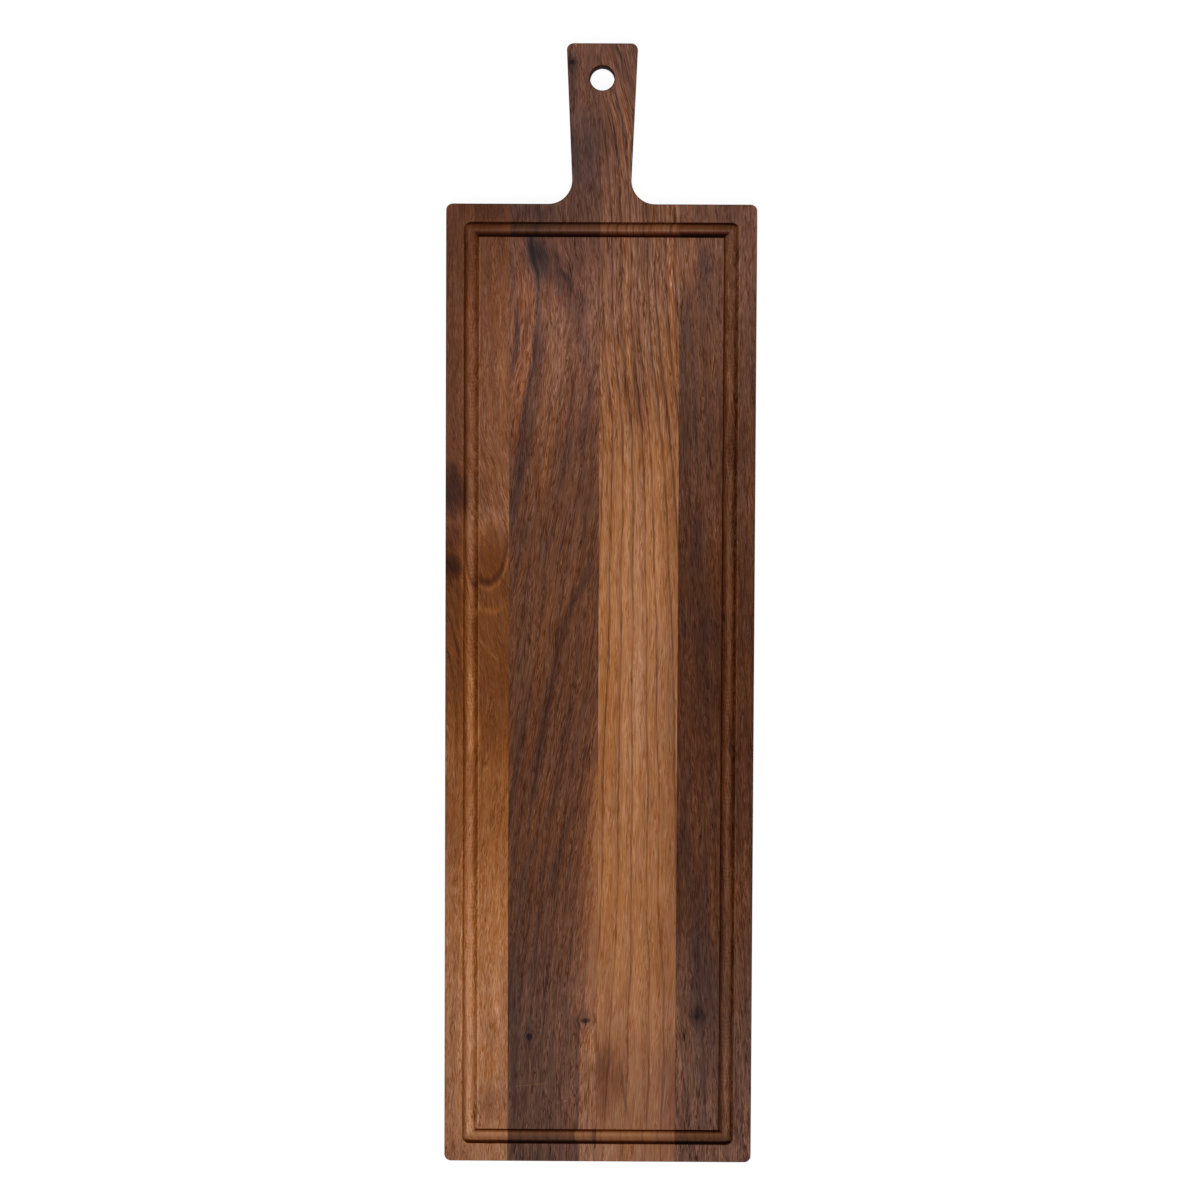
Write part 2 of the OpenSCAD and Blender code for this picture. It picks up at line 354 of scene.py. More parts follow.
leftCentreStave = {
    "node": "left_centre_stave",
    "seed": 2,
    "shade": [(355, 110), (280, 96), (225, 105), (175, 129), (120, 116), (80, 104), (20, 104), (-60, 99), (-150, 95),
              (-270, 91), (-355, 90)],
    "cool": [(355, 0.65), (225, 0.65), (150, 0.55), (50, 0.42), (-80, 0.38), (-180, 0.48), (-250, 0.75),
             (-355, 0.95)],
    "red": [(355, 0.6), (230, 0.7), (120, 0.3), (0, 0.1), (-200, 0.1), (-355, 0.2)],
    "lean": [(355, -6), (233, -1), (205, 3), (171, 1.5), (120, -5), (60, -12), (20, -18), (-40, -26), (-100, -35),
             (-180, -46), (-260, -53), (-355, -57)],
    "lines": [-60, -50, -43, -36, -28, -22, -16, -9, -4, 3, 10, 18.6, 26, 32.5, 37.7, 43.2, 49, 55, 62],
    "lineDepth": [(355, 6), (120, 10), (30, 18), (-200, 18), (-355, 14)],
    "wave": 0.45,
    "fibreRun": [(355, 355), (-355, -330)],
    "scratches": [((-56.1, -307.3), (-31.2, -305.0), 20), ((-28.2, -318.3), (-17.0, -315.6), 24)],
    "grainDepth": [(355, 1.15), (120, 1.02), (-120, 1.0), (-250, 1.05), (-355, 1.2)],
    "burnAndShade": 1.15,
    "endCool": 0.5,
    "patches": [
        {"at": (-54, 135), "size": (4, 26), "shade": 8, "cool": -0.2, "red": 0.3},
        {"at": (-42.5, 223), "size": (7, 16), "shade": -35, "cool": 0.45},
        {"at": (-39, 210), "size": (6, 9), "shade": -14, "cool": 0.2},
        {"at": (-17, 212), "size": (7, 9), "shade": -17, "red": 0.2},
        {"at": (-20, 178), "size": (5, 14), "shade": -12, "cool": 0.1, "red": 0.2},
        {"at": (-18, 337), "size": (5, 12), "shade": -12, "cool": 0.1},
        {"at": (-17, 283), "size": (4, 14), "shade": -9, "cool": 0.1},
        {"at": (-48, 48), "size": (4, 16), "shade": -8},
        {"at": (-50, 175), "size": (5, 14), "shade": -14, "red": 0.3},
        {"at": (-12, 35), "size": (4, 12), "shade": -2},
        {"at": (-50, 249), "size": (16, 9), "shade": -20},
        {"at": (-35, 250), "size": (12, 9), "shade": -14},
        {"at": (-13, 288), "size": (14, 30), "shade": -11, "cool": 0.3, "red": 0.3},
        {"at": (-28, 165), "size": (8, 40), "shade": 6, "cool": 0.1},
        {"at": (-10, -85), "size": (9, 45), "shade": -6, "cool": 0.1, "red": 0.3},
        {"at": (-55, 78), "size": (4, 24), "shade": 8},
        {"at": (-22, -255), "size": (10, 90), "shade": 14},
        {"at": (-5, 25), "size": (8, 20), "shade": -11},
        {"at": (-3, -85), "size": (5, 22), "shade": 12},
        {"at": (-3, 328), "size": (7, 38), "shade": 10},
        {"at": (-44, -353), "size": (14, 9), "shade": -12},
        {"at": (-35, 95), "size": (6, 34), "shade": 9, "cool": -0.1},
        {"at": (-7, 175), "size": (9, 50), "shade": -4, "cool": 0.1},
        {"at": (-55, -260), "size": (9, 70), "shade": -12, "cool": 0.1},
        {"at": (-33, -215), "size": (7, 24), "shade": -4, "red": 0.4},
        {"at": (-16, -322), "size": (5, 20), "shade": 12, "cool": -0.1, "red": 0.5},
        {"at": (-40, -125), "size": (16, 22), "shade": 8},
        {"at": (-6, -350), "size": (6, 8), "shade": 8, "cool": 0.25},
    ],
    "veins": [
        {"path": [(238, -51), (175, -47), (130, -50), (100, -55)], "width": 6.0,
         "shade": 8, "cool": -0.25, "red": 1.2},
        {"path": [(240, -44), (219, -43), (207, -40), (190, -40), (171, -41.4), (153, -43), (134, -46.7), (112, -51)],
         "width": 2.4, "shade": -24, "cool": 0.35},
        {"path": [(228, -38), (217, -32), (207, -25), (198, -19), (188, -15)], "width": 12.0, "core": 3.0,
         "shade": -29, "cool": 0.1, "red": 0.4},
        {"path": [(214, -26), (205, -20), (196, -16)], "width": 5.0, "shade": -10},
        {"path": [(190, -15), (176, -13), (158, -9), (140, -7), (120, -10), (100, -12)], "width": 7.5, "shade": -19,
         "cool": 0.15, "red": 0.5},
        {"path": [(92, -9), (70, -10), (42, -10)], "width": 4.5, "shade": -12, "cool": 0.1},
        {"path": [(178, -39), (150, -42), (120, -47), (83, -53), (58, -57)], "width": 7.0, "shade": -26, "cool": 0.15,
         "red": 0.2},
        {"path": [(180, -35), (150, -37), (122, -39), (96, -44), (62, -49)], "width": 3.6, "shade": -3},
        {"path": [(165, -17.5), (120, -20), (80, -25)], "width": 4.5, "shade": -12, "cool": 0.1, "red": 0.2},
        {"path": [(128, -29), (104, -32), (78, -37)], "width": 3.6, "shade": 12, "cool": -0.15},
        {"path": [(126, -42), (102, -46), (83, -51), (64, -53.5), (39, -55.5)], "width": 2.6,
         "shade": -12, "cool": 0.1},
        {"path": [(18, -9), (6, -16), (-4, -20.5), (-21, -25), (-42, -28.5), (-60, -32.5), (-84, -36.5), (-125, -43)],
         "width": 5.0, "shade": -22, "cool": 0.05, "red": 0.3},
        {"path": [(4, -31), (-30, -38), (-60, -40), (-104, -48)], "width": 4.0, "shade": 8, "cool": -0.15},
        {"path": [(-25, -43), (-50, -46), (-85, -48)], "width": 4.0, "shade": -9, "cool": 0.05},
        {"path": [(24, -45), (-30, -50), (-72, -54)], "width": 3.4, "shade": -5, "cool": 0.1},
        {"path": [(44, -32.5), (28, -36.5)], "width": 2.8, "shade": -18, "cool": 0.1},
        {"path": [(60, -51), (35, -53), (10, -55)], "width": 6.0, "shade": -6, "cool": 0.1},
        {"path": [(56, -22), (38, -25), (24, -27)], "width": 3.4, "shade": -12, "cool": 0.1},
        {"path": [(-66, -50), (-110, -53), (-150, -56)], "width": 5.5, "shade": -12, "cool": 0.1},
        {"path": [(-112, -28), (-135, -34), (-157, -43), (-190, -52)], "width": 3.6, "shade": -10, "cool": 0.1},
        {"path": [(-120, -14), (-150, -23), (-173, -30), (-206, -39), (-240, -44)], "width": 4.0,
         "shade": -10, "cool": 0.1},
        {"path": [(-140, -32), (-165, -40), (-185, -46)], "width": 3.0, "shade": 5, "cool": -0.1, "red": 0.4},
        {"path": [(-165, -45), (-190, -48), (-205, -50)], "width": 4.0, "shade": -8, "cool": 0.1},
        {"path": [(-180, -20), (-215, -29), (-250, -34)], "width": 3.6, "shade": 3, "red": 0.4},
        {"path": [(-112, -12), (-135, -13), (-162, -15)], "width": 6.0, "shade": 13},
        {"path": [(-200, -15), (-235, -21), (-262, -23)], "width": 2.4, "shade": -10, "cool": 0.1},
        {"path": [(-102, 3.5), (-143, 2.5), (-192, -1.5), (-232, -3), (-262, -4.5)], "width": 16.0, "core": 8.0,
         "shade": 25, "cool": -0.08, "grain": -0.3},
        {"path": [(-102, 6), (-145, 3), (-192, 1.5), (-232, 0), (-262, -1)], "width": 13.0, "core": 2.0, "shade": 32,
         "cool": -0.08, "grain": -0.3},
        {"path": [(-262, -6.2), (-300, -6.4), (-380, -6.8)], "width": 6.6, "core": 4.6, "shade": 44, "cool": -0.25,
         "grain": -0.2},
        {"path": [(-266, -5), (-288, -5)], "width": 4.5, "shade": 34, "cool": -0.1},
        {"path": [(20, -3.5), (-20, -11), (-60, -16.8), (-100, -22.5), (-140, -27.8), (-190, -29)],
         "width": 2.2, "shade": -9, "cool": 0.05},
        {"path": [(192, -52.9), (178, -53.4), (163, -54.6), (146, -57)], "width": 2.6, "shade": -38, "cool": 0.2},
    ],
    "knots": [
        {"at": (-8.1, -264.4), "size": (7.0, 9.0), "core": (2.9, 1.8), "shade": -60, "halo": -25, "cool": 0.1},
        {"at": (-43.8, -275.0), "size": (4.5, 7.0), "core": (1.9, 1.9), "shade": -34, "halo": -12},
        {"at": (-19.1, 343.6), "size": (5.0, 8.0), "core": (1.6, 1.3), "shade": -60, "halo": -34},
    ],
}

rightCentreStave = {
    "node": "right_centre_stave",
    "seed": 3,
    "shade": [(355, 110), (250, 122), (200, 137), (150, 136), (125, 143), (100, 157), (50, 166), (0, 169), (-75, 166),
              (-150, 160), (-240, 160), (-300, 142), (-355, 139)],
    "cool": [(355, 0.6), (225, 0.62), (150, 0.42), (60, 0.29), (-20, 0.33), (-120, 0.34), (-180, 0.33), (-260, 0.48),
             (-355, 0.65)],
    "red": [(355, 0.6), (230, 0.3), (120, 0), (-355, 0)],
    "lean": [(355, -11), (330, -5), (290, 3.5), (250, 6), (200, 7), (60, 14.8), (-60, 12.8), (-200, 11.2),
             (-260, 8.2), (-355, 3)],
    "spread": [(355, 1), (130, 1), (60, 1.17), (0, 1.29), (-60, 1.45), (-180, 1.6), (-260, 2.05), (-355, 2.3)],
    "lines": [-18, -12, -6.2, 0, 5.6, 12, 16.3, 23.7, 28.8, 35.8, 42, 48],
    "lineDepth": [(355, 18), (240, 34), (150, 48), (50, 46), (-160, 42), (-280, 34), (-355, 30)],
    "wave": 0.15,
    "fibreRun": [(355, 250), (-355, -250)],
    "grainDepth": [(355, 1.05), (200, 1.15), (120, 0.95), (60, 0.55), (-100, 0.5), (-355, 0.5)],
    "burnAndShade": 0.8,
    "patches": [
        {"at": (4, -300), "size": (13, 25), "shade": -25, "cool": -0.1, "red": 0.1},
        {"at": (6, 288), "size": (9, 22), "shade": -8},
        {"at": (22, 138), "size": (12, 24), "shade": -9},
        {"at": (3, -232), "size": (7, 36), "shade": -8},
        {"at": (45, -225), "size": (8, 44), "shade": -7},
        {"at": (45, 52), "size": (8, 26), "shade": -6},
        {"at": (47, -60), "size": (9, 220), "shade": -16},
        {"at": (48, -310), "size": (9, 45), "shade": -16, "cool": 0.15, "red": 0.3},
        {"at": (41, -230), "size": (8, 40), "shade": -8},
        {"at": (41, -50), "size": (8, 50), "shade": -5, "cool": 0.15, "red": 0.1},
        {"at": (45, 190), "size": (11, 70), "shade": 4, "cool": -0.1},
        {"at": (24, 212), "size": (5, 20), "shade": -6},
        {"at": (45, 249), "size": (8, 8), "shade": 18},
        {"at": (1, -293), "size": (3, 14), "shade": -9, "cool": 0.1},
        {"at": (4, 145), "size": (9, 40), "shade": 14, "cool": -0.1},
        {"at": (4, -60), "size": (9, 70), "shade": -9, "cool": -0.2},
        {"at": (10, -180), "size": (9, 40), "shade": 3, "cool": -0.12},
        {"at": (5, -350), "size": (8, 8), "shade": 9, "cool": 0.2},
    ],
    "veins": [
        {"path": [(236, 7), (180, 6), (138, 5)], "width": 5.0, "shade": -3, "cool": 0.05, "red": 0.3},
        {"path": [(-82, 24), (-110, 25), (-140, 26)], "width": 4.0, "shade": 8},
        {"path": [(-45, 33), (-90, 34), (-130, 34)], "width": 4.0, "shade": -7},
        {"path": [(298, 12), (285, 13.5), (276, 14)], "width": 3.5, "shade": 12, "cool": -0.1},
        {"path": [(236, 16), (180, 17), (128, 18)], "width": 3.8, "shade": 9, "cool": -0.2},
        {"path": [(236, 44), (190, 44), (120, 46)], "width": 3.6, "shade": 8, "cool": -0.2},
        {"path": [(84, 24), (0, 25.5), (-96, 26)], "width": 5.6, "shade": 3, "cool": 0.2, "red": 0.2},
        {"path": [(-293, 14), (-317, 18), (-329, 20)], "width": 1.6, "shade": -22, "cool": 0.1},
        {"path": [(354, 8), (346, 12.3), (335, 15.5), (327, 19)], "width": 2.6, "shade": -24, "cool": 0.1},
        {"path": [(326, 3.6), (317, 6), (306, 8.2), (295, 10)], "width": 2.8, "shade": 15, "cool": -0.15},
        {"path": [(329.5, 10.5), (317, 14.3), (303, 17.2), (290, 18.6)], "width": 3.2, "shade": 16, "cool": -0.2},
        {"path": [(320, 9), (300, 13.5), (280, 15.5)], "width": 2.2, "shade": -7},
        {"path": [(290, 5), (270, 7), (250, 8)], "width": 2.4, "shade": 10, "cool": -0.1},
    ],
}

rightStave = {
    "node": "right_stave",
    "seed": 4,
    "shade": [(355, 124), (240, 112), (180, 104), (150, 104), (110, 90), (50, 83), (-30, 75), (-120, 80),
              (-225, 76), (-290, 92), (-355, 99)],
    "cool": [(355, 0.6), (225, 0.65), (150, 0.5), (60, 0.35), (-20, 0.22), (-100, 0.28), (-180, 0.45), (-260, 0.9),
             (-355, 1.0)],
    "red": [(355, 0.3), (200, 0.2), (60, 0.1), (-355, 0.2)],
    "lean": [(355, -18), (-355, 18)],
    "lines": [28, 36, 42, 52.5, 60, 66, 73, 82, 90, 96, 103, 112],
    "lineDepth": [(355, 9), (-355, 13)],
    "wave": 0.35,
    "fibreRun": [(355, 355), (-355, -330)],
    "grainDepth": [(355, 0.92), (-100, 1.05), (-200, 1.0), (-290, 1.35), (-355, 1.5)],
    "burnAndShade": 1.6,
    "patches": [
        {"at": (54, 220), "size": (7, 20), "shade": 24, "cool": -0.1},
        {"at": (53, 140), "size": (7, 55), "shade": -11, "cool": 0.1},
        {"at": (80, 250), "size": (9, 12), "shade": -18},
        {"at": (63, -137), "size": (6, 28), "shade": 10},
        # painted highlight along the groove's floor
        {"at": (82, -20), "size": (4, 270), "shade": 14, "cool": 0.05},
        {"at": (92, 72), "size": (6, 20), "shade": 11},
        {"at": (92, -175), "size": (6, 24), "shade": 13},
        {"at": (92, -350), "size": (9, 8), "shade": 8, "cool": 0.1, "red": 0.7},
        {"at": (92, -50), "size": (7, 20), "shade": 9, "cool": -0.05},
        {"at": (73, 28), "size": (5, 40), "shade": 9, "cool": -0.15},
        {"at": (62, 45), "size": (5, 25), "shade": -10, "cool": 0.1},
        {"at": (68, -14), "size": (8, 18), "shade": -9, "cool": 0.1, "red": 0.4},
        {"at": (54, -40), "size": (4, 30), "shade": 8},
        {"at": (60, 130), "size": (4, 40), "shade": -8, "cool": 0.1, "red": 0.3},
        {"at": (64, -225), "size": (6, 40), "shade": -2, "red": 0.5},
        {"at": (74, -195), "size": (6, 40), "shade": 14, "cool": -0.2},
        {"at": (53, -150), "size": (5, 22), "shade": -12, "cool": 0.1},
        {"at": (66, 217), "size": (5, 9), "shade": -14, "cool": 0.2},
        {"at": (70, 158), "size": (6, 18), "shade": 3, "cool": -0.1},
        {"at": (72, 138), "size": (5, 12), "shade": -7},
        {"at": (70, -60), "size": (5, 20), "shade": -8},
        {"at": (73, -350), "size": (9, 9), "shade": 12},
        {"at": (92, 250), "size": (7, 9), "shade": 9},
        {"at": (70, 66), "size": (8, 34), "shade": 12},
        {"at": (52, -262), "size": (8, 68), "shade": 24, "cool": -0.1},
        {"at": (92, 160), "size": (8, 40), "shade": -8},
        {"at": (92, -230), "size": (9, 70), "shade": 21, "cool": -0.15},
        {"at": (92, 20), "size": (9, 60), "shade": 8},
        {"at": (91, 212), "size": (4, 24), "shade": 12},
    ],
    "knots": [
        {"at": (63.2, -261.0), "size": (5.4, 8.0), "core": (1.7, 2.1), "shade": -24, "halo": -28, "cool": -0.15},
    ],
}


def layOver(t, tones, amount, mark):  # adds what a mark changes, as far as amount goes
    for name in tones:
        if name in mark:
            tones[name] = t.calc("MULTIPLY_ADD", amount, mark[name], tones[name])


def knotSigns(t, knot, figure, wave):  # how far to the side of a knot, and how deep in its halo and in its core
    aside = t.split(t.vector("SUBTRACT", figure, (*knot["at"], 0)))[0]
    near = t.vector("ABSOLUTE", t.offFrom(figure, knot["at"], knot["size"]))
    halo = t.fade(t.vector("DOT_PRODUCT", near, (1, 1, 1)), *marks["haloEdge"])
    ragged = t.vector("LENGTH", t.offFrom(figure, knot["at"], knot["core"]))
    return aside, halo, t.fade(t.plus(ragged, t.times(wave, marks["coreWobble"])), *marks["coreEdge"])


def woodTones(t, stave, place, figureX, figureY, wave, knots, seed):
    # Shade, cool and red change along the stave, in patches, and in veins and arcs
    x, y, z = place
    figure = t.join(figureX, figureY)
    tones = {name: t.curve(figureY, stave[name]) for name in ("shade", "cool", "red")}
    tones["grain"] = 1.0
    wobble = t.pattern("wobble", figureX, figureY, seed, out=1)
    moved = t.vector("ADD", figure, t.vector("MULTIPLY", wobble, (*marks["patchWobble"], 0)))
    for patch in stave["patches"]:
        off = t.vector("LENGTH", t.offFrom(moved, patch["at"], patch["size"]))
        layOver(t, tones, t.fade(off, *marks["patchEdge"]), patch)
    slow, short = marks["veinWobble"]
    movedX = t.plus(figureX, t.times(t.split(wobble)[0], slow), t.times(wave, short))
    for vein in stave.get("veins", []):
        off = t.calc("ABSOLUTE", t.less(movedX, t.curve(figureY, vein["path"])))
        head, foot = vein["path"][0][0], vein["path"][-1][0]
        atFoot = t.fade(figureY, *(foot + way for way in marks["veinFoot"]))
        atHead = t.fade(figureY, *(head + way for way in marks["veinHead"]))
        layOver(t, tones, t.times(t.fade(off, vein["width"], vein.get("core", 0.1)), atFoot, atHead), vein)
    for arc in stave.get("arcs", []):
        away = t.vector("LENGTH", t.offFrom(figure, arc["at"], arc["size"]))
        away = t.calc("ABSOLUTE", t.less(t.calc("MULTIPLY_ADD", wave, marks["arcWobble"], away), arc["level"]))
        below = t.fade(figureY, *(arc["below"] + way for way in marks["arcTop"]))
        layOver(t, tones, t.times(t.fade(away, arc["width"], 0.0), below), arc)
    for knot, (aside, halo, core) in zip(stave.get("knots", []), knots):
        layOver(t, tones, halo, {"shade": knot["halo"], "cool": knot.get("cool", 0.0)})
        layOver(t, tones, core, {"shade": knot["shade"]})

    # Scratches lie on the serving face alone
    for start, end, lift in stave.get("scratches", []):
        slope = (end[1] - start[1]) / (end[0] - start[0])
        off = t.calc("ABSOLUTE", t.less(t.less(y, start[1]), t.times(t.less(x, start[0]), slope)))
        ends = (t.fade(x, start[0], start[0] + marks["scratchEnd"]), t.fade(x, end[0], end[0] - marks["scratchEnd"]))
        line = t.times(t.fade(off, *marks["scratchEdge"]), *ends, t.fade(z, *marks["scratchReaches"]))
        layOver(t, tones, line, {"shade": lift})
    return tones


def growthLines(t, stave, across, figureY, density, seed):
    # The wood darkens slowly towards each line and is light again past it
    spread = t.curve(figureY, stave["spread"]) if "spread" in stave else 1.0
    order = [(at, count) for count, at in enumerate(stave["lines"])]
    count = t.curve(t.calc("DIVIDE", across, spread), order, "VECTOR")
    count = t.calc("MULTIPLY_ADD", t.pattern("ragged", across, figureY, seed), growth["ragged"], count)
    toLine = t.times(t.calc("PINGPONG", count, 0.5), spread, growth["apart"])
    line = t.times(t.fade(toLine, *growth["lineEdge"]), t.calc("MULTIPLY_ADD", density, *growth["thickness"]))
    late = t.fade(t.calc("FRACT", count), *growth["late"])
    return t.times(t.calc("MULTIPLY_ADD", late, growth["lateDepth"], line), t.curve(figureY, stave["lineDepth"]))


def fibreLayers(t, stave, across, figureY, density, seed):  # soft bands, streaks and fibres, thin lines and pores
    run = t.curve(figureY, stave["fibreRun"], "VECTOR")
    stagger = t.pattern("stagger", across, figureY, seed)
    run = t.calc("MULTIPLY_ADD", stagger, hairShape["stagger"], run)   # so that the fibres don't end in rows
    layers = {}
    for shift, (name, (width, length, strength)) in enumerate({**grain, **hairs}.items()):
        spot = t.join(t.calc("MULTIPLY_ADD", across, 1 / width, seed + shift), t.times(run, 1 / length), seed - shift)
        layers[name] = t.noise(spot)
        if name in hairs:
            line = t.fade(t.calc("ABSOLUTE", layers[name]), *hairShape["edge"], *hairShape["levels"])
            layers[name] = t.times(line, t.calc("MULTIPLY_ADD", density, *hairShape["thickness"]))
        layers[name] = t.times(layers[name], strength)
    pores = t.fade(t.pattern("pores", across, run, seed), *hairShape["poreEdge"])
    layers["pores"] = t.times(pores, t.calc("MULTIPLY_ADD", density, *hairShape["poreThickness"]))
    return layers


def grooveMarks(t, stave, x, y, z, seed):
    # The groove's floor gets a painted highlight, partly a lighter burnished floor, and the side legs' right lips
    # get painted light. The cutter leaves ripples and smears the grain on the end legs. It burns the walls, which
    # painted shade darkens further, where a deeper burn takes the blue and the green first, and it chips their lips.
    outwards, endLeg = grooveSigns(t, x, y)
    sideLeg = t.less(1.0, endLeg)
    sideways = t.less(x, t.times(t.calc("SIGN", x), groove["halfWidth"]))
    off = t.calc("ABSOLUTE", outwards)
    top = t.fade(z, *groove["reaches"])
    towardsFoot = t.fade(y, *groove["footHalf"])

    def legwise(side, head, foot):  # what holds for the leg that is nearest
        end = t.calc("MULTIPLY_ADD", t.less(foot, head), towardsFoot, head)
        return t.calc("MULTIPLY_ADD", t.less(end, side), endLeg, side)

    onEnd = t.times(t.fade(off, *groove["smearEdge"]), endLeg, top)
    floor = t.fade(t.calc("ABSOLUTE", t.less(outwards, groove["floorMiddle"])), *groove["floorEdge"])
    sidePaintedShine = t.times(floor, t.fade(y, *groove["floorChange"], *groove["floorPaintedShine"]))
    endPaintedShine = (t.curve(outwards, groove[leg]) for leg in ("headPaintedShine", "footPaintedShine"))
    burnishAndPaintedShine = t.times(legwise(sidePaintedShine, *endPaintedShine), top)

    apart, bow, lift = groove["ripple"]
    ripple = t.times(t.calc("MULTIPLY_ADD", t.times(outwards, outwards), -bow, y), 2 * math.pi / apart)
    rippled = t.fade(t.pattern("ripples", x, y, seed), *groove["rippleShows"])
    ripple = t.times(t.calc("SINE", ripple), rippled, t.fade(off, *groove["rippleEdge"]), sideLeg, top, lift)
    inner, outer = groove["lipEdges"]
    # painted light on the right lip of each side leg
    lip = t.times(t.fade(sideways, *inner), t.fade(off, *outer), sideLeg, top, groove["lipPaintedLight"])

    # burns on the walls, with painted shade
    legs = ((sideways, "sideBurnAndShade"), (outwards, "headBurnAndShade"), (outwards, "footBurnAndShade"))
    burnAndShade = legwise(*(t.curve(where, groove[leg], "VECTOR") for where, leg in legs))
    inner, outer = groove["chipEdges"]
    chips = t.fade(t.pattern("chips", x, y, seed), *groove["chipShows"])
    return {
        "off": off,
        "onEnd": onEnd,
        "smear": t.calc("MULTIPLY_ADD", onEnd, groove["smear"], 1.0),
        "burnishAndPaintedShine": burnishAndPaintedShine,
        # painted light: the floor's painted highlight and the lips, with the cutter's ripples
        "light": t.plus(burnishAndPaintedShine, ripple, lip),
        "burnAndShade": t.times(burnAndShade, top, t.fade(off, *groove["burnAndShadeEdge"]), stave["burnAndShade"]),
        "chips": t.times(chips, t.fade(off, *inner), t.fade(off, *outer), top),
    }


def endGrainShade(t, stave, x, y, z, facingY, wave):  # on the end grain the rings show as arcs, and the pores as dots
    pith = t.join(t.less(x, endGrain["pithApart"] * (stave["seed"] - 2.5)), t.plus(z, endGrain["pithBelow"]))
    ring = t.calc("MULTIPLY_ADD", wave, endGrain["ringWobble"], t.vector("LENGTH", pith))
    ring = t.fade(t.calc("FRACT", t.times(ring, 1 / endGrain["ringApart"])), *endGrain["ringEdge"])
    wide, long = endGrain["dots"]
    dots = t.noise(t.join(t.times(x, 1 / wide), t.times(y, 1 / long), t.times(z, 1 / wide)))
    dots = t.fade(dots, *endGrain["dotEdge"])
    level = t.plus(t.times(ring, endGrain["ringDepth"]), t.times(dots, endGrain["dotDepth"]), endGrain["tone"])
    return t.calc("MULTIPLY_ADD", t.fade(facingY, *endGrain["faces"]), t.less(level, 1.0), 1.0)


def woodColour(t, shade, cool, red):
    lightest = walnut["shades"][-1]
    share = t.times(shade, 1 / lightest)
    warm, greyish = (t.ramp(share, [(at / lightest, tone) for at, tone in zip(walnut["shades"], walnut[kind])])
                     for kind in ("warm", "cool"))
    tone = t.blend(t.calc("ADD", cool, 0.0, clamp=True), warm, greyish)
    tinge = t.blend(t.calc("MULTIPLY_ADD", red, 0.5, 0.5, clamp=True), walnut["olive"], walnut["purple"])
    return t.blend(1.0, tone, tinge, "MULTIPLY")


